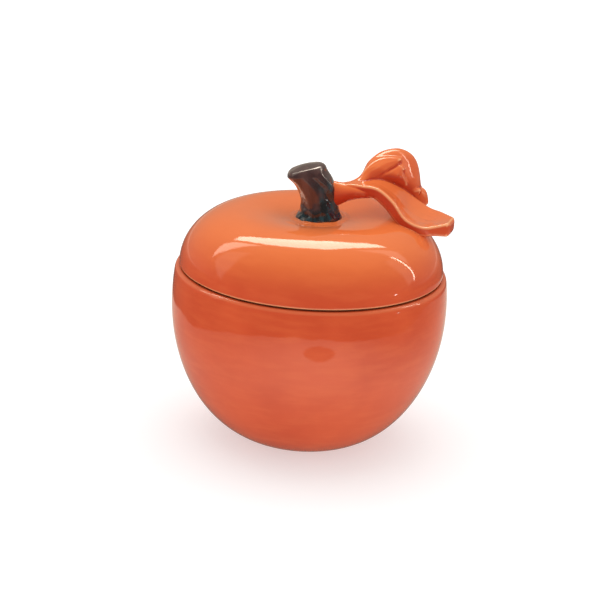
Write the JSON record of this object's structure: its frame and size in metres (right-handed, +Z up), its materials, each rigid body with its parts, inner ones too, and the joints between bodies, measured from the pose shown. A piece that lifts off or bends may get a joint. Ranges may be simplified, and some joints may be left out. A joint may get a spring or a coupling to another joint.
{
  "type": "lidded ceramic jar",
  "caption": "Smooth pumpkin-shaped glazed ceramic jar with a lift-off domed lid; a cut stem and a sprig of two leaves on the lid serve as its handle.",
  "frame": {"origin": "centre of the foot, on the surface that the jar stands on", "axes": "+Z up along the bowl's axis; +X towards the leaves; the front, where the stem is seen to the left of its leaves, faces -Y"},
  "size_m": [0.1311, 0.13, 0.1384],
  "materials": {
    "orange_glaze": "glossy orange glaze that thins to a pale line on edges",
    "stem_glaze": "glossy dark brown glaze with dark green streaks"
  },
  "bodies": {
    "bowl": {"bowl": "orange_glaze"},
    "lid": {"lid": "orange_glaze", "stem_collar": "orange_glaze", "stem": "stem_glaze", "leaf_stalk": "orange_glaze", "front_leaf": "orange_glaze", "rear_leaf": "orange_glaze"}
  },
  "joints": [
    {"name": "lid_lift", "type": "slide", "parent": "bowl", "child": "lid", "axis": [0, 0, 1], "range_m": [0, 0.16]}
  ]
}
